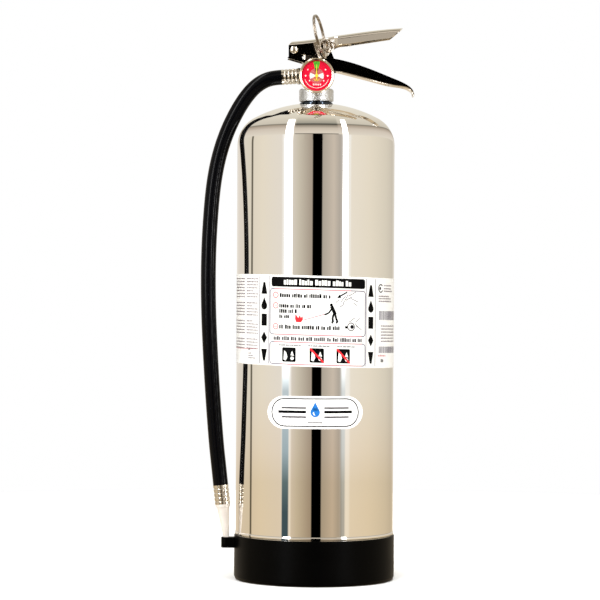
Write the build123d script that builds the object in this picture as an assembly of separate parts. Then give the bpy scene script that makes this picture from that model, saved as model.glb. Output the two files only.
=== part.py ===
from build123d import *
import math
import os

# A stainless stored-pressure water extinguisher, 2.5 US gallons.
# Frame: origin on the tank axis at the floor, +Z up, gauge towards -Y, hose on the -X side, grips to +X.

# --- tank and base ---
TANK_R = 88.9
WALL = 1.2
TANGENT_Z = 490.0
KNUCKLE_R = 35.0
CROWN_R = 150.0
BEAD_Z = 53.0
BEAD_H = 4.0
BEAD_OUT = 0.9
DISH_RISE = 24.0
DISH_Z = 20.0
DISH_SKIRT = 12.0
BOOT_R = 90.5
BOOT_H = 50.5
BOOT_FLOOR = 3.0
BOOT_EDGE = 1.4
EAR_LOW, EAR_HIGH = 36.0, 47.9
EAR_R = 5.7
SOCKET_R = 3.7

# --- neck and collar ---
NECK_BORE_R = 12.4
NECK_R = 13.9
NECK_LOW, NECK_TOP = 528.0, 546.0
NECK_FLANGE_R = 18.6
NECK_FLANGE_TOP = 539.0
COLLAR_R = 19.5
COLLAR_LOW, COLLAR_TOP = 540.2, 554.4
COLLAR_BORE_R = 14.1
COLLAR_LIP_R = 12.3
COLLAR_LIP_Z = 549.1

# --- valve ---
SPIGOT_R = 10.2
SPIGOT_LOW = 521.0
CHAMBER_R = 7.5
SEAT_Z = 557.2
SEAT_R = 4.6
STEM_R = 2.8
BARREL_R = 12.0
BLOCK_X, BLOCK_Y = 16.0, 9.8
BLOCK_LOW, BLOCK_TOP = 571.0, 586.0
HEAD_BACK, HEAD_FRONT, HEAD_TOP = -15.0, 4.6, 593.0
GUIDE_R, GUIDE_TOP = 5.0, 597.0
OUTLET_Z = 569.0
GAUGE_Z = 566.5
CHARGE_Z = 562.0
OVERFILL_LIP = 0.8
OVERFILL_LOW = 440.0
SPIGOT_RING_Z = 533.0
STEM_RING_Z = 582.0
TUBE_R, TUBE_BORE_R = 6.0, 5.2
TUBE_LOW, TUBE_TOP = 62.0, 528.0
SPRING_R, SPRING_WIRE_R = 6.3, 0.55
SPRING_LOW, SPRING_TOP, SPRING_COILS = 529.0, 551.4, 6
CUP_Z = 553.6

# --- grips ---
PLATE = 1.5
HANDLE_Y = 11.5
LEVER_Y = 13.2
PIVOT = (-25.5, 597.5)
PIVOT_R = 2.3
STEM_TOP = 608.4
PIN_X, PIN_Z, PIN_R = 9.0, 596.5, 1.7
EYE_Y, EYE_R, EYE_WIRE_R = -23.0, 5.2, 1.0
RING_R, RING_WIRE_R = 21.6, 0.85
RING_TURN, RING_LEAN = 12.5, 12.0
RING_DROP = 60.0
RIVETS = ((-9.0, 580.0), (12.0, 579.0))
RIVET_DOME = 1.5

# --- gauge ---
GAUGE_R = 19.7
GAUGE_BACK, GAUGE_FRONT = -25.0, -38.5
DIAL_R = 18.1
DIAL_Y, LENS_Y = -33.0, -36.3

# --- hose and nozzle ---
HOSE_D = 17.0
FERRULE_OUT, FERRULE_IN = -39.4, -21.3
FERRULE_FALL = 0.07
FERRULE_R = 8.7
HOSE_START_Z = 567.7
NOZZLE_TILT = 6.3
NOZZLE_XY = (-99.2, -11.0)
HOSE_END_Z = 106.6
NOZZLE_TOP, NOZZLE_LOW = 85.2, 40.0

# --- hanger, label, decal ---
HANGER_Z, HANGER_H = 440.0, 26.0
HANGER_X = 18.0
HANGER_GAP = 5.2
HANGER_T = 1.6
LABEL_LOW, LABEL_HIGH, LABEL_TURN = 242.2, 342.2, 204.0
LABEL_LEAN = 1.42
DECAL_Z, DECAL_X, DECAL_H = 192.0, 52.5, 18.0
FILM = 0.2

os.makedirs("parts", exist_ok=True)


def save(name, shape):
    """Write one sub-part and print its volume."""
    solids = shape.solids()
    out = solids[0] if len(solids) == 1 else Compound(children=list(solids))
    out.label = name
    export_step(out, f"parts/{name}.step")
    print(f"{name:22s} solids {len(solids)} volume {out.volume:.1f}")


def face(points):
    """A flat face in the XZ plane from (x, z) points."""
    return Plane.XZ * make_face(Polyline(*points, close=True))


def turned(points):
    """A solid turned about Z from (radius, z) points."""
    return revolve(face(points), Axis.Z)


def rod(r, low, high, x=0.0, y=0.0):
    """A cylinder along Z."""
    return Pos(x, y, (low + high) / 2) * Cylinder(r, high - low)


def rod_x(r, start, end, y=0.0, z=0.0):
    """A cylinder along X."""
    return Pos((start + end) / 2, y, z) * Rot(0, 90, 0) * Cylinder(r, abs(end - start))


def rod_y(r, start, end, x=0.0, z=0.0):
    """A cylinder along Y."""
    return Pos(x, (start + end) / 2, z) * Rot(90, 0, 0) * Cylinder(r, abs(end - start))


def block(x0, x1, y0, y1, z0, z1):
    """A box from its limits."""
    return Pos((x0 + x1) / 2, (y0 + y1) / 2, (z0 + z1) / 2) * Box(x1 - x0, y1 - y0, z1 - z0)


def plate(points, y0, y1):
    """A flat outline in XZ, given thickness from y0 to y1."""
    slab = extrude(face(points), y1 - y0, dir=(0, 1, 0))
    return Pos(0, y0, 0) * slab


# --- tank ---

KNUCKLE_X = TANK_R - KNUCKLE_R
CROWN_Z = TANGENT_Z - math.sqrt((CROWN_R - KNUCKLE_R) ** 2 - KNUCKLE_X**2)


def on_crown(r, inset=0.0):
    """Height of the domed top at a radius."""
    return CROWN_Z + math.sqrt((CROWN_R - inset) ** 2 - r**2)


def dome_wire(inset, mouth):
    """The dome's arcs, from the cylinder's top to the mouth: knuckle, then crown."""
    away = math.atan2(TANGENT_Z - CROWN_Z, KNUCKLE_X)
    knuckle, crown = KNUCKLE_R - inset, CROWN_R - inset
    start = (TANK_R - inset, TANGENT_Z)
    mid = (KNUCKLE_X + knuckle * math.cos(away / 2), TANGENT_Z + knuckle * math.sin(away / 2))
    meet = (crown * math.cos(away), CROWN_Z + crown * math.sin(away))
    end = (mouth, on_crown(mouth, inset))
    half = (away + math.acos(mouth / crown)) / 2
    top = (crown * math.cos(half), CROWN_Z + crown * math.sin(half))
    return ThreePointArc(start, mid, meet), ThreePointArc(meet, top, end)


def tank_shell():
    low = BOOT_FLOOR
    outer = dome_wire(0, NECK_R)
    inner = dome_wire(WALL, NECK_R)
    half = BEAD_H / 2
    outline = [
        Line((TANK_R, low), (TANK_R, BEAD_Z - half)),
        ThreePointArc((TANK_R, BEAD_Z - half), (TANK_R + BEAD_OUT, BEAD_Z), (TANK_R, BEAD_Z + half)),
        Line((TANK_R, BEAD_Z + half), (TANK_R, TANGENT_Z)),
        *outer,
        Line(outer[1] @ 1, inner[1] @ 1),
        *inner,
        Line((TANK_R - WALL, TANGENT_Z), (TANK_R - WALL, low)),
        Line((TANK_R - WALL, low), (TANK_R, low)),
    ]
    return revolve(Plane.XZ * make_face(outline), Axis.Z)


def tank_bottom():
    """A dished end that curves up into the tank, with a short skirt brazed in the shell."""
    r, top = TANK_R - WALL, DISH_Z + DISH_RISE
    bend = (r**2 + DISH_RISE**2) / (2 * DISH_RISE)
    low = DISH_Z - DISH_SKIRT
    dish = Pos(0, 0, top - bend) * (Sphere(bend) - Sphere(bend - WALL))
    dish &= rod(r, DISH_Z - 1, top + 1)
    return dish + (rod(r, low, DISH_Z) - rod(r - WALL, low - 1, DISH_Z + 1))


def neck_ring():
    band = turned([(NECK_BORE_R, NECK_LOW), (NECK_R, NECK_LOW), (NECK_R, NECK_TOP), (NECK_BORE_R, NECK_TOP)])
    rim = on_crown(NECK_FLANGE_R)
    flange = turned([
        (NECK_BORE_R, rim - 1), (NECK_FLANGE_R, rim - 1), (NECK_FLANGE_R, NECK_FLANGE_TOP - 0.6),
        (NECK_FLANGE_R - 0.9, NECK_FLANGE_TOP), (NECK_BORE_R, NECK_FLANGE_TOP),
    ])
    under = Pos(0, 0, CROWN_Z) * Sphere(CROWN_R)
    return band + (flange - under)


def socket_axis():
    """The nozzle's axis, from the socket mouth up and out."""
    lean = math.radians(NOZZLE_TILT)
    return Vector(-math.sin(lean), 0, math.cos(lean))


def on_nozzle(z):
    """A point of the nozzle's axis at a height."""
    up = socket_axis()
    return Vector(*NOZZLE_XY, EAR_HIGH) + up * ((z - EAR_HIGH) / up.Z)


def boot():
    return turned([
        (0, 0), (BOOT_R - BOOT_EDGE * 3, 0), (BOOT_R - BOOT_EDGE, 0.9), (BOOT_R, BOOT_EDGE * 3),
        (BOOT_R, BOOT_H - 0.6), (BOOT_R - 0.6, BOOT_H), (TANK_R, BOOT_H), (TANK_R, BOOT_FLOOR),
        (0, BOOT_FLOOR),
    ])


def nozzle_socket():
    """An ear on the boot's side with a tilted hole that takes the nozzle's tip."""
    x, y = NOZZLE_XY
    ear = rod(EAR_R, EAR_LOW, EAR_HIGH, x, y) + block(x, -80, y - EAR_R, y + EAR_R, EAR_LOW, EAR_HIGH)
    ear = ear - rod(BOOT_R, 0, 100)
    hole = Solid.make_cylinder(SOCKET_R, 40, Plane(on_nozzle(EAR_LOW - 10), z_dir=socket_axis()))
    return ear - hole


def hanger_loop():
    """A welded strap that bridges a slot for a wall hook."""
    inner = TANK_R + HANGER_GAP
    outer = inner + HANGER_T
    low, high = HANGER_Z, HANGER_Z + HANGER_H
    strap = block(-HANGER_X, HANGER_X, inner, outer, low, high)
    for side in (-1, 1):
        leg = sorted((side * (HANGER_X - HANGER_T), side * HANGER_X))
        foot = sorted((side * (HANGER_X - HANGER_T), side * (HANGER_X + 9)))
        strap += block(*leg, 80, outer, low, high)
        strap += block(*foot, 80, TANK_R + 5, low, high) & rod(TANK_R + HANGER_T, low, high)
    return strap - rod(TANK_R, low - 1, high + 1)


def instruction_label():
    """A film most of the way around the tank, leaning a little down to +X."""
    low, high = LABEL_LOW - 5, LABEL_HIGH + 5
    strip = face([(TANK_R, low), (TANK_R + FILM, low), (TANK_R + FILM, high), (TANK_R, high)])
    band = Rot(0, 0, -90 - LABEL_TURN / 2) * revolve(strip, Axis.Z, LABEL_TURN)
    middle = Pos(0, 0, (LABEL_LOW + LABEL_HIGH) / 2) * Rot(0, LABEL_LEAN, 0)
    return band & (middle * Box(3 * TANK_R, 3 * TANK_R, LABEL_HIGH - LABEL_LOW))


def front_decal():
    skin = rod(TANK_R + FILM, DECAL_Z - 40, DECAL_Z + 40) - rod(TANK_R, DECAL_Z - 41, DECAL_Z + 41)
    shape = Plane.XZ * Pos(0, DECAL_Z) * SlotOverall(2 * DECAL_X, 2 * DECAL_H)
    return skin & extrude(shape, 100, dir=(0, -1, 0))


# --- head ---


def collar_nut():
    return turned([
        (COLLAR_BORE_R, COLLAR_LOW), (COLLAR_R - 0.8, COLLAR_LOW), (COLLAR_R, COLLAR_LOW + 0.8),
        (COLLAR_R, COLLAR_TOP - 1.6), (COLLAR_R - 1.6, COLLAR_TOP), (COLLAR_LIP_R, COLLAR_TOP),
        (COLLAR_LIP_R, COLLAR_LIP_Z), (COLLAR_BORE_R, COLLAR_LIP_Z),
    ])


def valve_body():
    flange_low = NECK_TOP + OVERFILL_LIP
    body = rod(SPIGOT_R, SPIGOT_LOW, flange_low) + rod(NECK_R - 0.2, flange_low, COLLAR_LIP_Z)
    body += rod(BARREL_R, COLLAR_LIP_Z, BLOCK_LOW + 2)
    top = block(-BLOCK_X, BLOCK_X, -BLOCK_Y, BLOCK_Y, BLOCK_LOW, BLOCK_TOP)
    body += fillet(top.edges().filter_by(Axis.Z), 3)
    head = block(HEAD_BACK, HEAD_FRONT, -BLOCK_Y, BLOCK_Y, BLOCK_TOP - 3, HEAD_TOP)
    body += fillet(head.edges().filter_by(Axis.Z), 2.5)
    body += rod(GUIDE_R, HEAD_TOP - 1, GUIDE_TOP)
    body += rod_x(9, -18.5, 0, z=OUTLET_Z) + rod_y(7.5, -20, 0, z=GAUGE_Z) + rod_y(7.5, 0, 18, z=CHARGE_Z)
    body -= rod(CHAMBER_R, SPIGOT_LOW - 1, SEAT_Z)
    body -= rod(SEAT_R, SEAT_Z - 1, OUTLET_Z + 5)
    body -= rod(STEM_R + 0.2, OUTLET_Z, GUIDE_TOP + 1)
    body -= rod_x(6, -19, -8, z=OUTLET_Z) + rod_x(4, -9, 0, z=OUTLET_Z)
    body -= rod_y(4, -21, -13, z=GAUGE_Z) + rod_y(1.5, -14, 0, z=GAUGE_Z)
    body -= rod_y(4, 12, 19, z=CHARGE_Z) + rod_y(1.5, 0, 13, z=CHARGE_Z)
    body -= Pos(0, 0, SPIGOT_RING_Z) * Torus(SPIGOT_R - 0.1, 0.75)
    for x, z in RIVETS:
        body -= rod_y(2.5, -20, 20, x, z)
    return body


def overfill_tube():
    top = NECK_TOP + OVERFILL_LIP
    return turned([
        (10.8, OVERFILL_LOW), (12.0, OVERFILL_LOW), (12.0, NECK_TOP), (13.6, NECK_TOP), (13.6, top),
        (10.8, top),
    ])


def retainer():
    return turned([(TUBE_R, SPIGOT_LOW), (CHAMBER_R, SPIGOT_LOW), (CHAMBER_R, TUBE_TOP), (TUBE_R, TUBE_TOP)])


def siphon_tube():
    """The dip tube, cut slantwise at its foot."""
    tube = rod(TUBE_R, TUBE_LOW, TUBE_TOP) - rod(TUBE_BORE_R, TUBE_LOW - 2, TUBE_TOP + 2)
    return tube - Pos(0, 0, TUBE_LOW) * Rot(0, 25, 0) * Box(30, 30, 8)


def stem_spring():
    """A closed-end coil spring as a chain of rings joined by a seam."""
    spring = block(SPRING_R - 0.4, SPRING_R + 0.4, -0.5, 0.5, SPRING_LOW, SPRING_TOP)
    for n in range(SPRING_COILS):
        height = SPRING_LOW + (SPRING_TOP - SPRING_LOW) * n / (SPRING_COILS - 1)
        spring += Pos(0, 0, height) * Torus(SPRING_R, SPRING_WIRE_R)
    return spring


def valve_stem():
    stem = rod(STEM_R, CUP_Z - 1, STEM_TOP - 1.5) + rod(1.8, STEM_TOP - 1.6, STEM_TOP)
    stem += rod(SEAT_R - 0.6, CUP_Z - 1, SEAT_Z + 1.2) + rod(7.0, CUP_Z - 1.4, CUP_Z)
    return stem - Pos(0, 0, STEM_RING_Z) * Torus(STEM_R, 0.75)


def stem_seal():
    inner, outer, top = SEAT_R - 0.6, 6.9, SEAT_Z - 0.1
    return turned([(inner, CUP_Z), (outer, CUP_Z), (outer, top), (inner, top)])


# --- grips ---

# Each outline is a chain of straight and curved stretches in XZ; a curve runs smoothly through its points.
HANDLE_REAR = [
    (22.0, 573.7), (-12.0, 575.5), (-15.0, 583.4), (-33.0, 588.6), (-31.2, 590.6), (-30.6, 598.8),
    (-27.5, 602.4), (-22.5, 601.6), (-18.0, 594.5), (-15.5, 587.0), (-6.5, 587.0), (0.5, 592.0),
    (3.0, 599.2), (6.0, 600.6), (12.5, 600.4), (16.0, 597.0), (19.8, 588.1),
]
HANDLE_TOP = [(19.8, 588.1), (44.0, 582.3), (63.7, 575.4), (86.8, 566.1), (101.8, 559.2), (108.2, 553.9),
              (110.3, 546.6)]
HANDLE_UNDER = [(108.9, 546.3), (106.4, 552.0), (101.8, 554.9), (86.8, 557.9), (63.7, 563.2),
                (44.0, 568.3), (22.0, 573.7)]
HANDLE_FLOOR = [(22.0, 575.2), (44.0, 569.9), (63.7, 564.8), (86.8, 559.4), (101.0, 556.8)]
HANDLE_FLOOR_END = [(101.0, 556.8), (105.0, 560.0), (105.0, 620.0), (-40, 620), (-40, 560), (22.0, 560),
                    (22.0, 575.2)]
LEVER_TOP = [(-27.6, 607.2), (10.5, 611.8), (44.0, 617.0), (97.2, 623.3)]
LEVER_END = [(97.2, 623.3), (94.6, 621.3), (83.4, 611.8), (40.5, 605.5)]
LEVER_UNDER = [(40.5, 605.5), (30.0, 604.2), (22.0, 602.2), (17.2, 597.8), (13.2, 591.8)]
LEVER_REAR = [(13.2, 591.8), (11.0, 590.2), (4.0, 590.2), (-14.0, 592.6), (-31.6, 590.8), (-31.6, 603.0),
              (-27.6, 607.2)]
# Half widths of the lever seen from above: narrow over the valve, flared out for the palm, then tapering.
LEVER_PLAN = [(-40.0, 13.2), (9.5, 13.2), (13.0, 13.9), (20.0, 17.0), (23.5, 17.8), (99.0, 10.8)]
LEVER_ROOF = [(-27.2, 605.7), (10.6, 610.3), (44.2, 615.5), (98.0, 621.9)]
LEVER_ROOF_END = [(98.0, 621.9), (98.0, 580.0), (-40, 580), (-40, 598), (-30.2, 602.2), (-27.2, 605.7)]
HANDLE_BEND_R = 1.4
LEVER_BEND_R = 5.0


def outline(*stretches):
    """A closed XZ face from stretches of points: a list is straight runs, a tuple of a list is a curve."""
    edges = [Spline(*s[0]) if isinstance(s, tuple) else Polyline(*s) for s in stretches]
    return Plane.XZ * make_face(edges)


def along_bend(edge, curve):
    """Whether an edge of a grip runs along a curve, seen along Y, on either side of the grip."""
    places = [edge.position_at(t) for t in (0.1, 0.5, 0.9)]
    on_curve = all(curve.distance_to(Vector(p.X, 0, p.Z)) < 0.05 for p in places)
    return on_curve and abs(places[1].Y) > 5


def wide(shape, half):
    """An XZ outline given a width of half to each side."""
    return Pos(0, -half, 0) * extrude(shape, 2 * half, dir=(0, 1, 0))


def plan_block(plan, inset=0.0):
    """A tall block seen from above as a list of (x, half width), less an inset on each side."""
    near = [(x, half - inset) for x, half in plan]
    far = [(x, -y) for x, y in reversed(near)]
    return Pos(0, 0, 560) * extrude(make_face(Polyline(*near, *far, close=True)), 80)


def handle():
    outside = outline(HANDLE_REAR, (HANDLE_TOP,), [HANDLE_TOP[-1], HANDLE_UNDER[0]], (HANDLE_UNDER,))
    inside = outline((HANDLE_FLOOR,), HANDLE_FLOOR_END)
    under = Plane.XZ * Spline(*HANDLE_UNDER)
    slab = wide(outside, HANDLE_Y)
    grip = fillet([e for e in slab.edges() if along_bend(e, under)], HANDLE_BEND_R)
    grip -= wide(inside, HANDLE_Y - PLATE)
    grip -= rod_y(PIVOT_R, -20, 20, *PIVOT)
    grip -= block(PIN_X - 3.0, PIN_X + 2.4, -20, 20, 588.2, PIN_Z + 2.4)
    for x, z in RIVETS:
        grip -= rod_y(2.5, -20, 20, x, z)
    return grip


def lever():
    outside = outline((LEVER_TOP,), LEVER_END, (LEVER_UNDER,), LEVER_REAR)
    inside = outline((LEVER_ROOF,), LEVER_ROOF_END)
    roof, ceiling = (Plane.XZ * Spline(*points) for points in (LEVER_TOP, LEVER_ROOF))
    slab = wide(outside, 30) & plan_block(LEVER_PLAN)
    grip = fillet([e for e in slab.edges() if along_bend(e, roof)], LEVER_BEND_R)
    core = wide(inside, 30) & plan_block(LEVER_PLAN, PLATE)
    grip -= fillet([e for e in core.edges() if along_bend(e, ceiling)], LEVER_BEND_R - PLATE)
    return grip - rod_y(PIVOT_R + 0.1, -20, 20, *PIVOT) - rod_y(PIN_R + 0.15, -20, 20, PIN_X, PIN_Z)


def rivet(x, z, r, grip_y, head_r):
    """A round-headed rivet through the grips, along Y."""
    shank = rod_y(r, -grip_y, grip_y, x, z)
    ball = (head_r**2 + RIVET_DOME**2) / (2 * RIVET_DOME)
    for side in (-1, 1):
        cap = Pos(x, side * (grip_y + RIVET_DOME - ball), z) * Sphere(ball)
        shank += cap & rod_y(head_r, side * grip_y, side * (grip_y + RIVET_DOME), x, z)
    return shank


def pull_pin():
    pin = rod_y(PIN_R, EYE_Y + 0.6, 17, PIN_X, PIN_Z) + Pos(PIN_X, 17, PIN_Z) * Sphere(PIN_R)
    eye = Pos(PIN_X, EYE_Y, PIN_Z + EYE_R) * Rot(90, 0, 0) * Torus(EYE_R, EYE_WIRE_R)
    return pin + eye


def ring_plane():
    """The pull ring stands up in front of the lever, nearly edge-on, leaning a little to -X."""
    turn, lean = math.radians(RING_TURN), math.radians(RING_LEAN)
    across = Vector(math.sin(turn), math.cos(turn), 0)
    up = Vector(-math.sin(lean), 0, math.cos(lean))
    up = (up - across * up.dot(across)).normalized()
    eye = Vector(PIN_X, EYE_Y, PIN_Z + EYE_R)
    drop = math.radians(RING_DROP)
    centre = eye - across * (RING_R * math.sin(drop)) + up * (RING_R * math.cos(drop))
    return Plane(centre, x_dir=across, z_dir=across.cross(up))


def pull_ring():
    apart = RING_WIRE_R * 0.9
    turn = Torus(RING_R, RING_WIRE_R)
    return ring_plane() * (Pos(0, 0, -apart) * turn + Pos(0, 0, apart) * turn)


# --- gauge ---


def gauge_ring(points):
    """A solid turned about the gauge's axis from (radius, y) points."""
    shape = Plane.XY * make_face(Polyline(*points, close=True))
    return Pos(0, 0, GAUGE_Z) * revolve(shape, Axis.Y)


def gauge_case():
    cup = gauge_ring([
        (0, GAUGE_BACK), (GAUGE_R - 2, GAUGE_BACK), (GAUGE_R - 0.6, GAUGE_BACK - 1.4),
        (GAUGE_R - 0.6, DIAL_Y), (GAUGE_R, DIAL_Y - 1), (GAUGE_R, GAUGE_FRONT + 1),
        (GAUGE_R - 1, GAUGE_FRONT),
        (17.2, GAUGE_FRONT + 0.6), (17.2, LENS_Y - 1.2), (18.2, LENS_Y - 1.2), (18.2, GAUGE_BACK - 1.5),
        (0, GAUGE_BACK - 1.5),
    ])
    hex_nut = extrude(Plane.XZ * RegularPolygon(7.5, 6), 3, dir=(0, 1, 0))
    cup += Pos(0, GAUGE_BACK, GAUGE_Z) * hex_nut
    return cup + rod_y(4, GAUGE_BACK - 0.5, -13.5, z=GAUGE_Z)


def gauge_bourdon():
    arc = Torus(10.5, 1.4) - block(-20, 20, -20, -6, -5, 5)
    return Pos(0, -29.5, GAUGE_Z) * Rot(90, 0, 0) * arc


def gauge_dial():
    return rod_y(DIAL_R, DIAL_Y, DIAL_Y - 0.5, z=GAUGE_Z) - rod_y(1.3, DIAL_Y + 1, DIAL_Y - 2, z=GAUGE_Z)


def gauge_needle():
    y = DIAL_Y - 1.0
    pointer = plate([(-0.9, GAUGE_Z - 4.5), (0.9, GAUGE_Z - 4.5), (0.7, GAUGE_Z + 3), (0.15, GAUGE_Z + 13),
                     (-0.15, GAUGE_Z + 13), (-0.7, GAUGE_Z + 3)], y - 0.5, y)
    return pointer + rod_y(1.9, y - 0.9, y, z=GAUGE_Z) + rod_y(0.9, y, DIAL_Y + 1.2, z=GAUGE_Z)


# --- charging port ---


def charging_valve():
    stub = rod_y(6.3, 18, 32, z=CHARGE_Z) + rod_y(4, 12.2, 18.5, z=CHARGE_Z)
    return stub - rod_y(2.6, 12, 33, z=CHARGE_Z)


def charging_cap():
    cap = extrude(Plane.XZ * RegularPolygon(8.6, 6), 13.5, dir=(0, 1, 0))
    cap = Pos(0, 20.5, CHARGE_Z) * cap
    return cap - rod_y(6.5, 20, 32.3, z=CHARGE_Z)


# --- hose ---

# The hose's route: out of the valve towards -X, over in a loose bend, down beside the tank, in to the nozzle.
HOSE_ROUTE = [
    (-39.4, 0.0, 567.7), (-48.4, 0.0, 567.07), (-58.9, 0.0, 563.9), (-69.6, 0.0, 556.8),
    (-80.0, 0.0, 544.9), (-90.4, -0.3, 528.0), (-100.8, -2.0, 506.0), (-109.3, -5.4, 480.0),
    (-115.1, -9.8, 450.0), (-118.5, -14.6, 412.0), (-120.7, -17.8, 364.0), (-120.5, -18.6, 310.0),
    (-117.9, -17.6, 254.0), (-114.5, -15.4, 200.0), (-110.8, -13.0, 153.0),
]


def hose_path():
    end = on_nozzle(HOSE_END_Z)
    points = [Vector(*p) for p in HOSE_ROUTE]
    points += [end + socket_axis() * 22, end]
    runs = [b - a for a, b in zip(points, points[1:])]
    radii = []
    for before, after in zip(runs, runs[1:]):
        turn = math.radians(before.get_angle(after))
        radii.append(0.45 * min(before.length, after.length) / math.tan(turn / 2))
    print("hose runs", [round(run.length) for run in runs])
    print("hose radii", [round(r) for r in radii])
    return FilletPolyline(*points, radius=radii)


def hose():
    path = hose_path()
    start = Plane(path @ 0, z_dir=path % 0)
    tube = sweep(start * Circle(HOSE_D / 2), path)
    print("hose length", round(path.length, 1), "volume ratio",
          round(tube.volume / (path.length * math.pi * HOSE_D**2 / 4), 4))
    return tube


def ferrule(length, ribs):
    """A crimped sleeve, turned about Z from 0 up to its length, solid to take the hose end to end."""
    sleeve = rod(FERRULE_R, 0, length)
    pitch = length / (ribs + 0.5)
    for n in range(ribs):
        sleeve -= Pos(0, 0, (n + 0.8) * pitch) * Torus(FERRULE_R + 0.75, 1.35)
    return sleeve


def outlet_coupling():
    flange = rod_x(9.3, -21.3, -19.3, z=OUTLET_Z)
    return flange + rod_x(5.9, -19.4, -8.2, z=OUTLET_Z) - rod_x(3.5, -22, -8, z=OUTLET_Z)


def on_axis(shape, z):
    """Put a piece turned about Z on the nozzle's axis at a height, turned downwards."""
    return Plane(on_nozzle(z), z_dir=-socket_axis()) * shape


def nozzle():
    length = (NOZZLE_TOP - NOZZLE_LOW) / socket_axis().Z
    cone = turned([
        (1.6, 0), (8.0, 0), (8.0, 0.5), (8.6, 1.0), (8.6, 2.0), (8.0, 2.5), (8.0, 3.4), (6.9, 4.2),
        (3.3, length - 9), (2.9, length), (1.6, length),
    ])
    return on_axis(cone, NOZZLE_TOP)


def main():
    collar_ring = Pos(0, 0, SPIGOT_RING_Z) * Torus(SPIGOT_R - 0.1, 0.6)
    stem_ring = Pos(0, 0, STEM_RING_Z) * Torus(STEM_R - 0.1, 0.28)
    lens = rod_y(DIAL_R, LENS_Y, LENS_Y - 1.1, z=GAUGE_Z)
    gasket = rod_x(9.3, -19.3, -18.5, z=OUTLET_Z) - rod_x(6, -20, -18, z=OUTLET_Z)
    droop = Plane((FERRULE_OUT, 0, HOSE_START_Z), z_dir=(1, 0, FERRULE_FALL))
    upper = droop * ferrule(FERRULE_IN - FERRULE_OUT + 1, 4) - block(FERRULE_IN, 0, -20, 20, 540, 600)
    lower = on_axis(ferrule((HOSE_END_Z - NOZZLE_TOP) / socket_axis().Z, 4), HOSE_END_Z)
    grip_rivets = Compound(children=[rivet(x, z, 2.4, HANDLE_Y, 3.6) for x, z in RIVETS])
    made = {
        "tank_shell": tank_shell(), "tank_bottom": tank_bottom(), "neck_ring": neck_ring(), "boot": boot(),
        "nozzle_socket": nozzle_socket(), "hanger_loop": hanger_loop(),
        "instruction_label": instruction_label(), "front_decal": front_decal(),
        "collar_nut": collar_nut(), "collar_o_ring": collar_ring, "valve_body": valve_body(),
        "overfill_tube": overfill_tube(), "tube_retainer": retainer(), "siphon_tube": siphon_tube(),
        "stem_spring": stem_spring(), "valve_stem": valve_stem(), "stem_seal": stem_seal(),
        "stem_o_ring": stem_ring, "handle": handle(), "lever": lever(),
        "handle_rivets": grip_rivets, "lever_pivot_rivet": rivet(*PIVOT, PIVOT_R, LEVER_Y, 4.3),
        "pull_pin": pull_pin(), "pull_ring": pull_ring(), "gauge_case": gauge_case(),
        "gauge_bourdon": gauge_bourdon(), "gauge_dial": gauge_dial(), "gauge_needle": gauge_needle(),
        "gauge_lens": lens, "charging_valve": charging_valve(),
        "charging_core": rod_y(2.4, 14, 31, z=CHARGE_Z), "charging_cap": charging_cap(),
        "outlet_coupling": outlet_coupling(), "outlet_gasket": gasket, "hose_ferrule_upper": upper,
        "hose": hose(), "hose_ferrule_lower": lower, "nozzle": nozzle(),
    }
    for name, shape in made.items():
        save(name, shape)


main()
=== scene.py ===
import math
import random
import bmesh
import bpy
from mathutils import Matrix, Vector


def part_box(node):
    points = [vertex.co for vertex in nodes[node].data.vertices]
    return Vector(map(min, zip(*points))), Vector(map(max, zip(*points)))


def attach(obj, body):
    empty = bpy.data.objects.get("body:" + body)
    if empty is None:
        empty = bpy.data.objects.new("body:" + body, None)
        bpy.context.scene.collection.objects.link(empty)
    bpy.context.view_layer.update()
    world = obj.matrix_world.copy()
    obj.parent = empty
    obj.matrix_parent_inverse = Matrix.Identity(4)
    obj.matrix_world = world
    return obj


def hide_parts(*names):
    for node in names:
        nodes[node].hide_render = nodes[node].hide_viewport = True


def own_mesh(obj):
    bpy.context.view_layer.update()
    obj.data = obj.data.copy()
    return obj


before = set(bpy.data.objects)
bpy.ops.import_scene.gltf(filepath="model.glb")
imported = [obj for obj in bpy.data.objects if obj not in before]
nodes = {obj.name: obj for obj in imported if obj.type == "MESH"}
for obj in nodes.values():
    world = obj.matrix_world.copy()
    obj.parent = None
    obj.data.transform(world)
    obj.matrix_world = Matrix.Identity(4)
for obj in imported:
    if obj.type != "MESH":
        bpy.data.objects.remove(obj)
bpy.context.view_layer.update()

MM = 0.001

# --- sizes, read from the frame ---

label_low, label_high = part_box("instruction_label")
decal_low, decal_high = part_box("front_decal")
dial_low, dial_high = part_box("gauge_dial")
film_r = label_high.x
label_mid = (label_low.z + label_high.z) / 2
decal_mid = (decal_low.z + decal_high.z) / 2
dial_centre = (dial_low + dial_high) / 2
dial_face = dial_low.y

# --- camera ---

camera = bpy.data.objects.new("camera", bpy.data.cameras.new("camera"))
bpy.context.scene.collection.objects.link(camera)
camera.location = (-0.0173, -2.8, 0.3155)
camera.rotation_euler = (math.radians(90), math.radians(-0.3), 0)
camera.data.lens = 148.3
camera.data.sensor_width = 36
camera.data.clip_end = 50
bpy.context.scene.camera = camera
bpy.context.scene.view_settings.view_transform = "Standard"
bpy.context.scene.view_settings.look = "None"

# --- material helpers ---


def linear(colour):
    """An (r, g, b) of 0 to 255 display values as scene-linear RGBA."""
    out = []
    for c in colour:
        c /= 255
        out.append(c / 12.92 if c <= 0.04045 else ((c + 0.055) / 1.055) ** 2.4)
    return (*out, 1)


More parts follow.
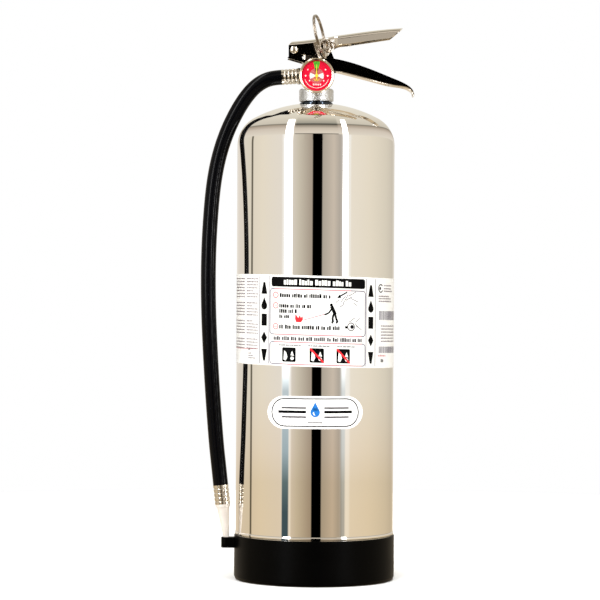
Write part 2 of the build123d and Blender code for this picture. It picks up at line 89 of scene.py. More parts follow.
class Graph:
    """Short calls for building a node tree."""

    def __init__(self, tree):
        self.tree = tree

    def put(self, socket, value):
        """Link a socket to a node's output, or give it a value."""
        if isinstance(value, bpy.types.NodeSocket):
            self.tree.links.new(value, socket)
        else:
            socket.default_value = value

    def math(self, what, a, b=0.0):
        node = self.tree.nodes.new("ShaderNodeMath")
        node.operation = what
        self.put(node.inputs[0], a)
        self.put(node.inputs[1], b)
        return node.outputs[0]

    def mix(self, amount, a, b, how="MIX"):
        node = self.tree.nodes.new("ShaderNodeMix")
        node.data_type = "RGBA"
        node.blend_type = how
        for socket, value in zip((node.inputs[0], *node.inputs[6:8]), (amount, a, b)):
            self.put(socket, value)
        return node.outputs[2]


class Nodes(Graph):
    """One material's node tree, around its Principled shader."""

    def __init__(self, name):
        self.material = bpy.data.materials.new(name)
        self.material.use_nodes = True
        super().__init__(self.material.node_tree)
        self.shader = self.tree.nodes["Principled BSDF"]
        self.coords = self.add("ShaderNodeTexCoord").outputs["Object"]

    def add(self, kind, **inputs):
        """A node with inputs by name, underscores for spaces."""
        node = self.tree.nodes.new(kind)
        for key, value in inputs.items():
            self.put(node.inputs[key.replace("_", " ")], value)
        return node

    def set(self, **inputs):
        """Inputs of the Principled shader by name, underscores for spaces."""
        for key, value in inputs.items():
            self.put(self.shader.inputs[key.replace("_", " ")], value)

    def stretched(self, scale=(1, 1, 1), turn=(0, 0, 0)):
        node = self.add("ShaderNodeMapping", Vector=self.coords, Scale=scale, Rotation=turn)
        return node.outputs["Vector"]

    def noise(self, scale, detail=3.0, vector=None):
        node = self.add("ShaderNodeTexNoise", Scale=scale, Detail=detail, Roughness=0.55,
                        Vector=vector or self.coords)
        return node.outputs["Fac"]

    def span(self, value, low, high):
        """A 0 to 1 value mapped to low to high."""
        node = self.add("ShaderNodeMapRange", Value=value, To_Min=low, To_Max=high)
        return node.outputs["Result"]

    def bump(self, height, distance, strength=1.0, normal=None):
        node = self.add("ShaderNodeBump", Height=height, Distance=distance, Strength=strength)
        if normal is not None:
            self.put(node.inputs["Normal"], normal)
        return node.outputs["Normal"]


# --- materials ---


def steel(name, tint, rough, waves, grain=(1, 1, 0.05)):
    """Polished sheet metal: faint waviness, hairline polishing marks, smudges in the gloss."""
    m = Nodes(name)
    smudge = m.noise(9, 4)
    fine = m.noise(420, 2, m.stretched(grain))
    slow = m.noise(14, 1, m.stretched((1, 1, 0.35)))
    gloss = m.math("ADD", m.span(smudge, rough * 0.6, rough * 1.3), m.span(fine, 0, rough * 0.5))
    m.set(Metallic=1.0, Base_Color=m.mix(smudge, linear(tint), linear([c * 0.985 for c in tint])))
    m.set(Roughness=gloss, Normal=m.bump(fine, 0.0000012, 1.0, m.bump(slow, waves)))
    return m.material


def plated(name, tint, rough, metal=1.0):
    """Plated castings and turned parts: a little orange peel under a bright surface."""
    m = Nodes(name)
    cloud = m.noise(120, 3)
    m.set(Metallic=metal, Base_Color=m.mix(cloud, linear(tint), linear([c * 0.93 for c in tint])))
    m.set(Roughness=m.span(cloud, rough * 0.7, rough * 1.4))
    m.set(Normal=m.bump(m.noise(900, 2), 0.00001, 0.6))
    return m.material


def moulded(name, colour, rough, shine=0.5):
    """Moulded plastic or rubber: fine texture, and gloss that varies where it has been handled."""
    m = Nodes(name)
    cloud = m.noise(35, 4)
    m.set(Base_Color=m.mix(cloud, linear(colour), linear([min(255, c * 1.25 + 1) for c in colour])))
    m.set(Specular_IOR_Level=shine)
    m.set(Roughness=m.span(cloud, rough - 0.125, rough + 0.125))
    m.set(Normal=m.bump(m.noise(1500, 2), 0.00002, 0.7))
    return m.material


def printed(name, colour, rough=0.32, shine=0.2):
    """Ink on a film: slightly uneven cover and a satin film over it."""
    m = Nodes(name)
    cover = m.noise(260, 3)
    m.set(Base_Color=m.mix(cover, linear(colour), linear([min(255, c * 0.94 + 5) for c in colour])))
    m.set(Roughness=m.span(cover, rough, rough + 0.12), Specular_IOR_Level=shine)
    m.set(Coat_Weight=shine * 0.3, Coat_Roughness=0.12)
    return m.material


def wrapped_hose():
    """Rubber hose with the fine slanting weave that a cloth wrap leaves in it."""
    m = Nodes("hose_rubber")
    cloud = m.noise(55, 4)
    threads = [m.add("ShaderNodeTexWave", Vector=m.stretched(turn=turn), Scale=320.0, Distortion=1.2,
                     Detail=1.0).outputs["Fac"] for turn in ((0.5, 0, 0), (0, 0.9, 0.4))]
    weave = m.math("MAXIMUM", *threads)
    m.set(Base_Color=m.mix(m.math("MULTIPLY", weave, cloud), linear((1, 1, 2)), linear((6, 7, 11))))
    m.set(Roughness=m.span(cloud, 0.07, 0.13), Specular_IOR_Level=0.1)
    m.set(Normal=m.bump(weave, 0.00005, 0.4, m.bump(m.noise(400, 3), 0.00002, 0.3)))
    return m.material


def clear_lens():
    """A clear window: transparent, with a thin gloss from its surface."""
    m = Nodes("clear_lens")
    out = m.tree.nodes["Material Output"]
    gloss = m.add("ShaderNodeBsdfGlossy", Roughness=m.span(m.noise(60, 2), 0.02, 0.06))
    clear = m.add("ShaderNodeBsdfTransparent", Color=(0.99, 0.99, 0.99, 1))
    edge = m.add("ShaderNodeFresnel", IOR=1.15)
    both = m.tree.nodes.new("ShaderNodeMixShader")
    m.put(both.inputs[0], edge.outputs[0])
    m.put(both.inputs[1], clear.outputs[0])
    m.put(both.inputs[2], gloss.outputs[0])
    m.put(out.inputs["Surface"], both.outputs[0])
    return m.material


MIRROR = steel("polished_steel", (252, 250, 246), 0.006, 0.00003)
NECK = steel("neck_steel", (66, 74, 84), 0.05, 0.00003)
SHEET = steel("pressed_steel", (246, 241, 233), 0.05, 0.00004, (0.06, 1, 1))
PLATED = plated("valve_metal", (240, 234, 224), 0.14)
BRIGHT = plated("nozzle_metal", (252, 245, 238), 0.3, 0.4)
COLLAR = plated("collar_metal", (234, 238, 243), 0.46)
BEZEL = plated("gauge_metal", (240, 226, 204), 0.2)
WIRE = plated("spring_steel", (176, 166, 154), 0.07)
BRASS = plated("brass", (214, 176, 106), 0.22)
BOOT = moulded("boot_plastic", (1, 1, 1), 0.34, 0.04)
HOSE = wrapped_hose()
SEAL = moulded("seal_rubber", (8, 8, 9), 0.55, 0.2)
INNER = moulded("inner_plastic", (226, 224, 214), 0.45)
FILM = printed("label_film", (240, 240, 238))
DECAL = printed("decal_film", (244, 244, 244))
RED_DIAL = printed("dial_print", (236, 16, 56), 0.4)
YELLOW = printed("needle_yellow", (246, 222, 70), 0.4)
INK_BLACK = printed("ink_black", (3, 3, 4), shine=0.04)
INK_GREY = printed("ink_grey", (60, 56, 60), shine=0.08)
INK_RED = printed("ink_red", (206, 36, 44))
INK_BLUE = printed("ink_blue", (30, 110, 190))
INK_GREEN = printed("ink_green", (92, 186, 52), 0.4)
INK_WHITE = printed("ink_white", (244, 244, 240))
INK_PALE = printed("ink_pale", (206, 120, 124), 0.4)
INK_LINE = printed("ink_line", (96, 88, 108))
INK_SMALL = printed("ink_small", (130, 116, 124))
INK_DARK = printed("ink_dark", (24, 20, 24), shine=0.06)
INK_FAINT = printed("ink_faint", (222, 218, 216))
INK_ROSE = printed("ink_rose", (198, 104, 104), 0.4)
INK_FLAME = printed("ink_flame", (240, 40, 48))
INK_YELLOW = printed("ink_yellow", (236, 190, 60), 0.4)
LENS = clear_lens()

LOOKS = {
    MIRROR: ("tank_shell", "tank_bottom"),
    NECK: ("neck_ring",),
    SHEET: ("hanger_loop", "handle", "lever"),
    COLLAR: ("collar_nut",),
    PLATED: ("valve_body", "valve_stem", "handle_rivets", "lever_pivot_rivet",
             "charging_cap", "outlet_coupling", "hose_ferrule_upper", "hose_ferrule_lower"),
    BRIGHT: ("nozzle",),
    BEZEL: ("gauge_case",),
    WIRE: ("pull_pin", "stem_spring", "pull_ring"),
    BRASS: ("tube_retainer", "gauge_bourdon", "charging_valve", "charging_core"),
    BOOT: ("boot", "nozzle_socket"),
    HOSE: ("hose",),
    SEAL: ("collar_o_ring", "stem_seal", "stem_o_ring", "outlet_gasket"),
    INNER: ("overfill_tube", "siphon_tube"),
    FILM: ("instruction_label",),
    DECAL: ("front_decal",),
    RED_DIAL: ("gauge_dial",),
    YELLOW: ("gauge_needle",),
    LENS: ("gauge_lens",),
}
for look, names in LOOKS.items():
    for name in names:
        nodes[name].data.materials.clear()
        nodes[name].data.materials.append(look)

# --- pieces ---


def add_mesh(name, mesh, material, body):
    """A new piece from a bmesh, riding on a body."""
    data = bpy.data.meshes.new(name)
    mesh.to_mesh(data)
    mesh.free()
    data.materials.append(material)
    piece = bpy.data.objects.new(name, data)
    bpy.context.scene.collection.objects.link(piece)
    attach(piece, body)


# The hose follows the same route as its CAD tube, on one smooth curve.
HOSE_DIAMETER = 17 * MM
HOSE_ROUTE = [
    (-39.4, 0.0, 567.7), (-48.4, 0.0, 567.07), (-58.9, 0.0, 563.9), (-69.6, 0.0, 556.8),
    (-80.0, 0.0, 544.9), (-90.4, -0.3, 528.0), (-100.8, -2.0, 506.0), (-109.3, -5.4, 480.0),
    (-115.1, -9.8, 450.0), (-118.5, -14.6, 412.0), (-120.7, -17.8, 364.0), (-120.5, -18.6, 310.0),
    (-117.9, -17.6, 254.0), (-114.5, -15.4, 200.0), (-110.8, -13.0, 153.0), (-108.13, -11.0, 128.74),
    (-105.7, -11.0, 106.6),
]


def make_hose():
    curve = bpy.data.curves.new("hose_tube", "CURVE")
    curve.dimensions = "3D"
    curve.bevel_depth = HOSE_DIAMETER / 2
    curve.bevel_resolution = 10
    curve.resolution_u = 12
    spline = curve.splines.new("NURBS")
    spline.points.add(len(HOSE_ROUTE) - 1)
    for point, place in zip(spline.points, HOSE_ROUTE):
        point.co = (*(c * MM for c in place), 1)
    spline.order_u = 3
    spline.use_endpoint_u = True
    curve.materials.append(HOSE)
    hose = bpy.data.objects.new("hose_tube", curve)
    bpy.context.scene.collection.objects.link(hose)
    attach(hose, "tank")
    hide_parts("hose")


SPRING_WIRE = 0.55 * MM
SPRING_TURNS, SPRING_STEPS = 7, 24


def make_spring():
    """The valve's spring: a helix from its foot to the stem's head."""
    low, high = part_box("stem_spring")
    r = (high.x - low.x) / 2 - SPRING_WIRE
    climb = high.z - low.z - 2 * SPRING_WIRE
    curve = bpy.data.curves.new("spring_coil", "CURVE")
    curve.dimensions = "3D"
    curve.bevel_depth = SPRING_WIRE
    curve.bevel_resolution = 3
    spline = curve.splines.new("POLY")
    spline.points.add(SPRING_TURNS * SPRING_STEPS)
    for n, point in enumerate(spline.points):
        turn = math.tau * n / SPRING_STEPS
        # Three quarters of a turn lie flat at each end.
        up = min(max((n / SPRING_STEPS - 0.75) / (SPRING_TURNS - 1.5), 0), 1)
        point.co = (r * math.cos(turn), r * math.sin(turn), low.z + SPRING_WIRE + up * climb, 1)
    mesh = bpy.data.meshes.new_from_object(bpy.data.objects.new("spring_curve", curve))
    mesh.materials.clear()
    mesh.materials.append(WIRE)
    for polygon in mesh.polygons:
        polygon.use_smooth = True
    spring = bpy.data.objects.new("spring_coil", mesh)
    bpy.context.scene.collection.objects.link(spring)
    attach(spring, "tank")
    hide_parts("stem_spring")
    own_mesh(spring)


make_hose()
make_spring()

# --- printed details ---


class Sheet:
    """Flat shapes in millimetres across and up, laid a hair above a surface, one piece per ink."""

    def __init__(self, place):
        self.place = place
        self.inks = {}

    def shape(self, ink, points, lift=1):
        """A filled outline; a higher lift lies over a lower one."""
        self.inks.setdefault(ink, []).append((points, lift))

    def bar(self, ink, left, right, low, high, lift=1):
        self.shape(ink, [(left, low), (right, low), (right, high), (left, high)], lift)

    def stroke(self, ink, a, b, width, lift=1):
        run = Vector(b) - Vector(a)
        across = Vector((-run.y, run.x)).normalized() * width / 2
        corners = (Vector(a) - across, Vector(b) - across, Vector(b) + across, Vector(a) + across)
        self.shape(ink, [tuple(p) for p in corners], lift)

    def path(self, ink, points, width, lift=1):
        """Strokes of one width from point to point."""
        for a, b in zip(points, points[1:]):
            self.stroke(ink, a, b, width, lift)

    def disc(self, ink, x, z, r, lift=1, sides=20):
        turns = [math.tau * n / sides for n in range(sides)]
        self.shape(ink, [(x + r * math.cos(t), z + r * math.sin(t)) for t in turns], lift)

    def hoop(self, ink, x, z, r, width, lift=1, start=0, end=360, sides=28):
        """A ring, or the part of it from one angle to another."""
        turns = [math.radians(start + (end - start) * n / sides) for n in range(sides + 1)]
        rings = [[(x + c * math.cos(t), z + c * math.sin(t)) for t in turns]
                 for c in (r - width / 2, r + width / 2)]
        for n in range(sides):
            self.shape(ink, [rings[0][n], rings[1][n], rings[1][n + 1], rings[0][n + 1]], lift)

    def frame(self, ink, left, right, low, high, corner, width, lift=1):
        """A thin outline with round corners."""
        self.path(ink, rounded(left, right, low, high, corner, closed=True), width, lift)

    def words(self, ink, left, right, low, high, seed, lift=1):
        """A row of uneven ticks that stands in for a line of small print."""
        pick = random.Random(seed)
        x = left
        tall = high - low
        while x < right - tall * 0.3:
            for _ in range(pick.randint(2, 6)):
                wide = tall * pick.uniform(0.26, 0.5)
                if x + wide > right:
                    return
                self.bar(ink, x, x + wide, low, low + tall * pick.uniform(0.72, 1.0), lift)
                x += wide + tall * 0.12
            x += tall * 0.34

    def stripes(self, ink, left, right, low, high, seed, lift=1):
        """Upright stripes of uneven width."""
        pick = random.Random(seed)
        x = left
        while x < right:
            wide = pick.choice((0.35, 0.5, 0.8))
            self.bar(ink, x, min(x + wide, right), low, high, lift)
            x += wide + pick.choice((0.4, 0.6, 0.9))

    def make(self, name, body, step):
        """Turn the shapes into pieces, cut across every step so that they follow a curved surface."""
        for ink, shapes in self.inks.items():
            mesh = bmesh.new()
            for points, lift in shapes:
                mesh.faces.new([mesh.verts.new((x, z, lift)) for x, z in points])
            low = min(v.co.x for v in mesh.verts)
            high = max(v.co.x for v in mesh.verts)
            for n in range(1, int((high - low) / step) + 1):
                parts = [*mesh.verts, *mesh.edges, *mesh.faces]
                bmesh.ops.bisect_plane(mesh, geom=parts, plane_co=(low + n * step, 0, 0), plane_no=(1, 0, 0))
            bmesh.ops.triangulate(mesh, faces=mesh.faces[:])
            for vert in mesh.verts:
                vert.co = self.place(vert.co.x, vert.co.y, vert.co.z)
            bmesh.ops.recalc_face_normals(mesh, faces=mesh.faces[:])
            add_mesh(f"{name}_{ink.name}", mesh, ink, body)


def rounded(left, right, low, high, corner, closed=False):
    """The outline of a box with round corners, anticlockwise from its lower right."""
    points = []
    for x, z, first in ((right - corner, low + corner, -90), (right - corner, high - corner, 0),
                        (left + corner, high - corner, 90), (left + corner, low + corner, 180)):
        for n in range(6):
            turn = math.radians(first + 18 * n)
            points.append((x + corner * math.cos(turn), z + corner * math.sin(turn)))
    return points + points[:1] if closed else points


# One lift of ink, in millimetres, and how far the label leans: its fall for each unit across.
INK_LIFT = 0.12
LABEL_SLOPE = 0.0247


def on_label(x, z, lift):
    """A place on the label: x is millimetres around from the front, z from mid height; it leans a little."""
    r = film_r + lift * INK_LIFT * MM
    turn = x * MM / film_r
    across = math.sin(turn)
    height = label_mid + z * MM - LABEL_SLOPE * film_r * across
    return (r * across, -r * math.cos(turn), height)


def on_decal(x, z, lift):
    """A place on the front decal, from its middle."""
    r = film_r + lift * INK_LIFT * MM
    turn = x * MM / film_r
    return (r * math.sin(turn), -r * math.cos(turn), decal_mid + z * MM)


def on_dial(x, z, lift):
    """A place on the gauge's dial, from its middle."""
    return (dial_centre.x + x * MM, dial_face - lift * INK_LIFT * MM, dial_centre.z + z * MM)


LABEL_HALF_HIGH = 48.5
BOX_LEFT, BOX_RIGHT = -53.2, 58.8
BOX_CORNER = 3.2
THIN, FINE = 1.0, 0.7


def print_columns(p):
    """The upright strips beside the middle: two rules each, and plain shapes down the strip."""
    for x in (-68.3, -54.8, 60.3, 74.4):
        p.bar(INK_LINE, x - 0.45, x + 0.45, -LABEL_HALF_HIGH, LABEL_HALF_HIGH)
    for x in (-61.5, 67.4):
        p.shape(INK_BLACK, [(x - 4.2, 28.6), (x + 4.2, 28.6), (x + 1.4, 41.6), (x - 1.4, 41.6)])
        p.disc(INK_BLACK, x, 15.4, 4.2)
        p.shape(INK_BLACK, [(x - 3.9, 17.0), (x + 3.9, 17.0), (x, 25.0)])
        p.bar(INK_BLACK, x - 3.8, x + 3.8, -6.6, 6.6)
        p.shape(INK_BLACK, [(x, -26.4), (x + 4.2, -19.6), (x, -12.8), (x - 4.2, -19.6)])
        p.shape(INK_BLACK, [(x - 1.4, -45.2), (x + 1.4, -45.2), (x + 4.2, -32.2), (x - 4.2, -32.2)])


def print_steps(p):
    """The heading, and a box with three numbered rows that have dots for numbers and ticks for words."""
    p.shape(INK_BLACK, rounded(-51.5, 58.6, 37.0, 47.8, 2.6))
    p.words(INK_WHITE, -36, 42, 39.4, 45.6, 9, 2)
    p.frame(INK_LINE, BOX_LEFT, BOX_RIGHT, -15.4, 34.6, BOX_CORNER, THIN)
    p.bar(INK_PALE, -48, 40, 34.3, 35.0, 2)
    p.bar(INK_PALE, -48, 54, -15.8, -15.1, 2)
    for z, row in ((27.8, 0), (16.2, 1), (-6.8, 2)):
        p.hoop(INK_PALE, -46.0, z, 3.0, 1.1)
        for n in range(row + 1):
            p.disc(INK_RED, -46.0 + 1.5 * (n - row / 2), z, 0.55, sides=10)
    for left, right, low, high, seed in ((-41.0, 16.5, 25.4, 30.0, 11), (-41.5, -3.0, 14.0, 18.4, 12),
                                         (-41.5, -19.5, 8.2, 12.6, 13), (-41.5, -29.0, 2.4, 6.6, 14),
                                         (-41.5, 28.0, -9.2, -4.6, 15)):
        p.words(INK_BLACK, left, right, low, high, seed)


def print_pictures(p):
    """A flame with a jet to it, a standing figure, and two sketches of a hand at the grips."""
    p.shape(INK_FLAME, [(-21.5, -1.6), (-16.2, -1.6), (-14.0, 1.5), (-14.4, 5.4), (-16.4, 3.4),
                        (-17.4, 6.6), (-19.2, 3.2), (-21.0, 5.6), (-22.6, 7.2), (-22.9, 2.0)])
    p.stroke(INK_PALE, (-13.2, 1.0), (9.5, 8.0), 0.8)
    p.disc(INK_BLACK, 17.2, 18.4, 1.7)
    p.path(INK_BLACK, [(17.4, 17.0), (19.2, 13.6), (21.6, 8.2)], 3.8)
    p.path(INK_BLACK, [(18.2, 14.8), (14.4, 9.6), (9.6, 7.4)], 1.8)
    p.path(INK_BLACK, [(20.4, 9.4), (18.6, 4.2), (19.2, -0.6), (17.4, -1.0)], 2.3)
    p.path(INK_BLACK, [(21.6, 9.0), (22.6, 4.0), (24.4, -0.4), (22.4, -0.8)], 2.3)
    p.stroke(INK_BLACK, (35.5, 33.0), (27.5, 28.6), 1.5)
    p.shape(INK_BLACK, [(23.6, 26.0), (28.6, 26.6), (26.6, 30.4)])
    for start, end in (((22.0, 21.0), (26.0, 24.5)), ((28.0, 22.0), (33.5, 28.6)),
                       ((30.5, 20.0), (36.5, 30.2)), ((34.0, 24.0), (41.5, 28.0)),
                       ((37.0, 28.6), (46.5, 33.6)), ((40.0, 26.2), (49.0, 22.6)),
                       ((26.5, 16.0), (31.5, 19.5)), ((43.0, 21.5), (48.0, 18.5))):
        p.stroke(INK_GREY, start, end, FINE)
    p.bar(INK_FAINT, 33.0, 44.5, 12.6, 19.0)
    p.bar(INK_BLACK, 33.0, 36.2, -7.0, -4.4)
    p.hoop(INK_GREY, 40.4, -5.0, 4.2, THIN)
    p.disc(INK_DARK, 41.6, -5.0, 2.2)
    for start, end in (((38.0, 0.0), (45.0, 5.0)), ((46.0, 0.5), (51.5, 4.6)),
                       ((47.0, -4.0), (54.0, -8.0)), ((45.0, -1.0), (50.0, -6.0))):
        p.stroke(INK_GREY, start, end, FINE)
    p.bar(INK_FAINT, 34.0, 47.0, -13.0, -9.6)


def print_uses(p):
    """A line of ticks over a box of three dark squares, two of them struck through."""
    p.words(INK_GREY, -48.5, 54.5, -21.8, -17.2, 16)
    p.frame(INK_LINE, BOX_LEFT, BOX_RIGHT, -48.0, -23.8, BOX_CORNER, THIN)
    p.bar(INK_PALE, -48, 54, -24.1, -23.5, 2)
    p.bar(INK_PALE, -40, 54, -48.3, -47.7, 2)
    for left, right, seed in ((-42, -16, 21), (-8, 16, 22), (24, 46, 23)):
        p.words(INK_GREY, left, right, -27.8, -26.2, seed)
    for n, x in enumerate((-29.8, 1.4, 31.2)):
        p.shape(INK_BLACK, rounded(x - 7.9, x + 7.9, -45.4, -29.6, 1.4))
        p.shape(INK_WHITE, [(x - 6.2, -43.0), (x - 3.6, -44.0), (x - 1.6, -40.0), (x - 3.0, -35.0),
                            (x - 5.4, -33.0)], 2)
        p.disc(INK_WHITE, x + 3.8, -41.4, 1.9, 2)
        p.shape(INK_WHITE, [(x + 2.0, -38.0), (x + 3.8, -33.0), (x + 5.8, -38.6)], 2)
        if n:
            p.stroke(INK_FLAME, (x - 7.6, -29.8), (x + 7.6, -45.2), 2.1, 3)


def print_left(p):
    """Rows of small print to the left, in two columns with a gap every few rows."""
    for n in range(24):
        if n in (7, 13, 19):
            continue
        top = 46.0 - n * 3.35
        end = -70.5 - 9.0 * (n % 5 == 4)
        p.words(INK_SMALL, -92.0, end, top - 1.7, top - 0.2, 40 + n)
        p.words(INK_SMALL, -134.0, -96.0, top - 1.7, top - 0.2, 80 + n)
    p.bar(INK_PALE, -134.0, -71.0, -33.2, -32.6)
    p.words(INK_DARK, -88.0, -84.0, -34.4, -32.6, 39)
    for n in range(3):
        p.words(INK_SMALL, -88.0, -82.0 + 4 * n, -38.4 - 2.6 * n, -37.0 - 2.6 * n, 36 + n)


def print_right(p):
    """A round mark, small print and two striped bands to the right."""
    p.hoop(INK_GREY, 84.5, 38.4, 4.2, 1.3, start=40, end=330)
    p.disc(INK_GREY, 83.4, 38.4, 1.8)
    for n, (left, right, z) in enumerate(((91, 112, 41.0), (91, 112, 37.6), (91, 116, 34.8),
                                          (80.5, 104, 29.0), (80.5, 110, 26.4), (80.5, 112, 23.4))):
        p.words(INK_SMALL, left, right, z, z + 1.6, 60 + n)
    for z, half in ((8.4, 5.0), (-29.8, 3.6)):
        p.stripes(INK_LINE, 81.0, 132.0, z - half, z + half, 70)
    for n in range(6):
        p.words(INK_SMALL, 85.0, 126.0, -4.0 - 3.4 * n, -2.4 - 3.4 * n, 71 + n)
    p.words(INK_PALE, 79.5, 96.0, -37.2, -35.4, 78)
    p.words(INK_GREY, 85.0, 92.0, -43.6, -39.6, 79)


def print_label():
    """Panels, boxes, pictures and ticks for print; nothing on it can be read."""
    p = Sheet(on_label)
    for part in (print_columns, print_steps, print_pictures, print_uses, print_left, print_right):
        part(p)
    p.make("label", "tank", 4.0)


def print_decal():
    """A plain badge: a droplet between bars, inside a thin outline."""
    p = Sheet(on_decal)
    edge_x, edge_z = 50.2, 15.1
    p.frame(INK_DARK, -edge_x, edge_x, -edge_z, edge_z, 15.0, 1.2)
    p.disc(INK_BLUE, 0, 0.2, 5.2)
    p.shape(INK_BLUE, [(-4.9, 2.0), (4.9, 2.0), (0, 11.4)])
    p.shape(INK_WHITE, [(-2.8, -0.6), (-1.6, -2.6), (0.2, -3.4), (-0.8, -1.6), (-1.4, 0.8)], 2)
    for side in (-1, 1):
        for ink, far, low, high in ((INK_GREY, 38, 4.2, 5.9), (INK_BLACK, 42, -0.8, 2.1),
                                    (INK_GREY, 38, -5.8, -4.1)):
            p.bar(ink, *sorted((side * 10, side * far)), low, high)
    p.bar(INK_GREY, -8, 8, -11.6, -10.6)
    p.make("decal", "tank", 3.0)


def print_dial():
    """A service gauge without numbers: a green span at the top, ticks, dots and a pale middle."""
    p = Sheet(on_dial)
    span = [math.radians(90 + 13.8 * n / 4) for n in range(-4, 5)]
    p.shape(INK_GREEN, [(0, 0)] + [(16.4 * math.cos(t), 16.4 * math.sin(t)) for t in span])
    p.hoop(INK_WHITE, 0, 0, 13.6, 0.55, start=196, end=344)
    for degrees, r, size in ((35, 12, 0.85), (145, 12, 0.85), (-35, 9.6, 0.8), (215, 9.6, 0.8),
                             (0, 12.4, 0.95), (180, 12.4, 0.95)):
        turn = math.radians(degrees)
        p.disc(INK_WHITE, r * math.cos(turn), r * math.sin(turn), size, sides=12)
    for side in (-1, 1):
        p.shape(INK_WHITE, [(0, 0.2), (side * 7.2, 3.6), (side * 8.0, 0), (side * 7.2, -3.6)], 2)
    p.disc(INK_ROSE, 0, 0, 8.4)
    for x in (-4.2, -2.2, -0.2, 1.8, 3.8):
        p.bar(INK_WHITE, x, x + 1.1, -10.6, -8.8)
    p.hoop(INK_YELLOW, 0, -2.0, 3.4, 0.9, 2, start=200, end=340)
    p.make("dial", "tank", 40.0)


print_label()
print_decal()
print_dial()

# --- light and floor ---

WHITE, DARK = (255, 255, 255), (0, 0, 0)


class World(Graph):
    """The studio's node tree, which is looked up by direction."""

    def __init__(self):
        world = bpy.data.worlds.new("studio")
        bpy.context.scene.world = world
        world.use_nodes = True
        super().__init__(world.node_tree)
        self.tree.nodes.clear()

    def new(self, kind, *values):
        """A node with its first inputs given in order."""
        node = self.tree.nodes.new(kind)
        for socket, value in zip(node.inputs, values):
            self.put(socket, value)
        return node

    def ramp(self, value, stops):
        """Display colours between places from 0 to 1."""
        node = self.new("ShaderNodeValToRGB", value)
        points = node.color_ramp.elements
        while len(points) < len(stops):
            points.new(0.5)
        for point, (at, colour) in zip(points, stops):
            point.position = at
            point.color = linear(colour)
        return node.outputs[0]


def around(degrees):
    """An azimuth as a place on a ramp: 0 is the camera's side, positive to +X."""
    return degrees / 360 + 0.5


def above(degrees):
    """An elevation, as a mirror that leans back by half of it shows it, as a place on a ramp."""
    return degrees / 360 + 0.5


def level(degrees):
    """A true elevation as a place on a ramp."""
    return degrees / 180 + 0.5


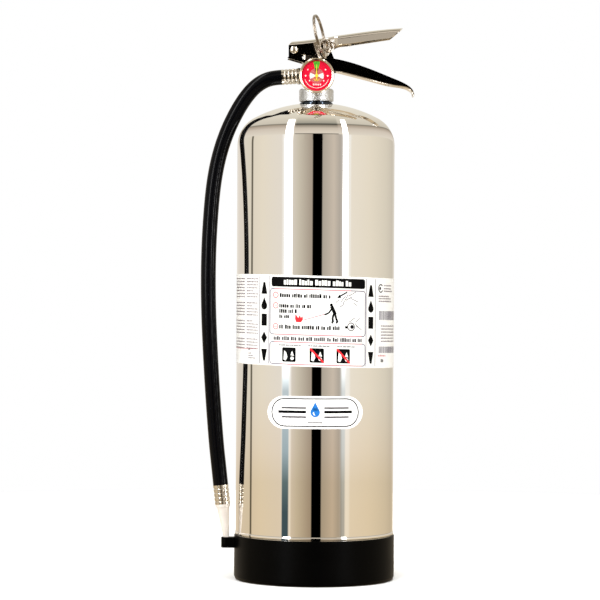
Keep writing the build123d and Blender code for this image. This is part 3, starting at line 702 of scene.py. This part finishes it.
def light_the_world():
    """A soft studio: cream walls, two tall white lights, a dark gap between them, a panel overhead."""
    w = World()
    x, y, z = w.new("ShaderNodeSeparateXYZ", w.new("ShaderNodeTexCoord").outputs["Generated"]).outputs
    # Directions are taken by the normal of a mirror that shows them to the front, so lights stay upright.
    front = w.math("SUBTRACT", 1.0, y)
    flat = w.math("SQRT", w.math("ADD", w.math("MULTIPLY", x, x), w.math("MULTIPLY", front, front)))
    turn = w.math("ADD", w.math("DIVIDE", w.math("ARCTAN2", x, front), math.pi), 0.5)
    rise = w.math("ADD", w.math("DIVIDE", w.math("ARCTAN2", z, flat), math.pi), 0.5)
    walls = w.ramp(turn, [
        (around(-180), (236, 230, 220)), (around(-150), (222, 214, 204)), (around(-109.6), (217, 209, 193)),
        (around(-108.4), (98, 92, 80)), (around(-105.4), (106, 100, 88)),
        (around(-104.2), (222, 213, 197)),
        (around(-85), (228, 219, 202)), (around(-51), (226, 219, 209)), (around(-48), (246, 244, 240)),
        (around(-37), (250, 248, 245)), (around(-34), (214, 206, 195)),
        (around(-26), (202, 194, 178)), (around(-7.5), (168, 156, 142)), (around(-5.4), (166, 154, 140)),
        (around(-4.6), DARK), (around(8.6), DARK), (around(9.4), (172, 164, 152)),
        (around(26), (200, 188, 174)), (around(35), (176, 168, 158)), (around(38.5), (190, 184, 178)),
        (around(40), (245, 243, 240)), (around(50.5), (242, 239, 233)), (around(53), (232, 224, 210)),
        (around(85), (228, 219, 202)), (around(125), (214, 206, 190)),
        (around(150), (200, 192, 178)), (around(180), (236, 230, 220)),
    ])
    dip = w.math("ADD", w.math("DIVIDE", w.math("ARCSINE", z), math.pi), 0.5)
    lift = w.ramp(dip, [
        (level(-90), (200, 188, 170)), (level(-8), (242, 230, 210)), (level(-5.1), (247, 235, 216)),
        (level(-4.4), (243, 232, 213)), (level(-3.4), (253, 246, 238)), (level(-2), WHITE),
        (level(90), WHITE),
    ])
    side = w.mix(1.0, walls, lift, "MULTIPLY")
    panel = w.ramp(rise, [
        (above(31), (40, 40, 36)), (above(33), (222, 212, 198)), (above(52), (204, 193, 178)),
        (above(66), (132, 123, 110)), (above(69.5), (62, 64, 58)), (above(71.5), (70, 72, 66)),
        (above(74), (158, 154, 142)),
        (above(92), (192, 186, 170)), (above(108), (215, 208, 192)), (above(140), (224, 218, 203)),
        (above(180), (232, 227, 214)),
    ])
    beside = w.ramp(rise, [
        (above(31), (222, 214, 201)), (above(52), (208, 197, 184)), (above(67), (168, 154, 138)),
        (above(71), (120, 116, 106)),
        (above(75), (204, 197, 183)), (above(108), (218, 211, 196)), (above(180), (232, 227, 214)),
    ])
    is_panel = w.ramp(turn, [
        (around(-33), DARK), (around(-31), WHITE), (around(32), WHITE), (around(34), DARK),
    ])
    overhead = w.mix(is_panel, beside, panel)
    is_overhead = w.ramp(rise, [(above(29), DARK), (above(31), WHITE)])
    studio = w.mix(is_overhead, side, overhead)
    lamp = w.ramp(dip, [
        (level(-5), (62, 80, 86)), (level(-4.3), (84, 104, 104)), (level(-3.4), (168, 186, 194)),
        (level(-1.8), (198, 210, 216)), (level(-1), WHITE), (level(90), WHITE),
    ])
    is_tall = w.ramp(turn, [
        (around(-45.6), DARK), (around(-44.6), WHITE), (around(-36), WHITE), (around(-35), DARK),
        (around(39.4), DARK), (around(40.2), WHITE), (around(46.4), WHITE), (around(47.4), DARK),
    ])
    is_tall = w.mix(1.0, is_tall, w.ramp(rise, [(above(86), WHITE), (above(96), DARK)]), "MULTIPLY")
    is_foot = w.ramp(turn, [
        (around(-49.4), DARK), (around(-48.4), WHITE), (around(-39), WHITE), (around(-37.5), DARK),
        (around(37.4), DARK), (around(38.6), (192, 192, 192)), (around(43.5), (192, 192, 192)),
        (around(45.4), DARK),
    ])
    high = w.ramp(dip, [(level(-1.5), DARK), (level(-0.9), WHITE)])
    is_lamp = w.mix(high, is_foot, is_tall)
    glossy = w.new("ShaderNodeLightPath").outputs["Is Glossy Ray"]
    # The lights are brighter than white, and more so in rough metal and rubber than in diffuse light.
    extra = w.math("ADD", 2.0, w.math("MULTIPLY", glossy, 8.0))
    gain = w.math("ADD", 1.0, w.math("MULTIPLY", high, extra))
    lights = w.new("ShaderNodeBackground", lamp, gain)
    room = w.new("ShaderNodeBackground", studio, 1.04)
    both = w.new("ShaderNodeMixShader", is_lamp, room.outputs[0], lights.outputs[0])
    backdrop = w.new("ShaderNodeBackground", (1, 1, 1, 1), 1.0)
    seen = w.new("ShaderNodeLightPath").outputs["Is Camera Ray"]
    choose = w.new("ShaderNodeMixShader", seen, both.outputs[0], backdrop.outputs[0])
    w.new("ShaderNodeOutputWorld", choose.outputs[0])


FLOOR_R = 1.3


def make_floor():
    """A pale round table top that catches a soft shadow and doesn't show in the metal."""
    mesh = bmesh.new()
    bmesh.ops.create_circle(mesh, cap_ends=True, segments=128, radius=FLOOR_R)
    data = bpy.data.meshes.new("floor")
    mesh.to_mesh(data)
    mesh.free()
    floor = bpy.data.objects.new("floor", data)
    bpy.context.scene.collection.objects.link(floor)
    m = Nodes("floor_paper")
    m.set(Base_Color=m.mix(m.noise(3, 2), linear((255, 255, 255)), linear((252, 252, 252))), Roughness=0.9)
    data.materials.append(m.material)
    floor.visible_glossy = False


def add_light(name, place, target, size, power, colour=(1, 1, 1)):
    """A square soft light that faces its target and doesn't show in the metal."""
    lamp = bpy.data.lights.new(name, "AREA")
    lamp.size = size
    lamp.energy = power
    lamp.color = colour
    light = bpy.data.objects.new(name, lamp)
    bpy.context.scene.collection.objects.link(light)
    light.location = place
    aim = Vector(target) - Vector(place)
    light.rotation_euler = aim.to_track_quat("-Z", "Y").to_euler()
    light.visible_glossy = False


light_the_world()
make_floor()
add_light("top_soft", (0, -0.6, 2.6), (0, 0, 0), 2.4, 75, (0.93, 0.97, 1.0))
add_light("front_soft", (-0.5, -2.6, 1.1), (0, 0, 0.4), 1.2, 45)
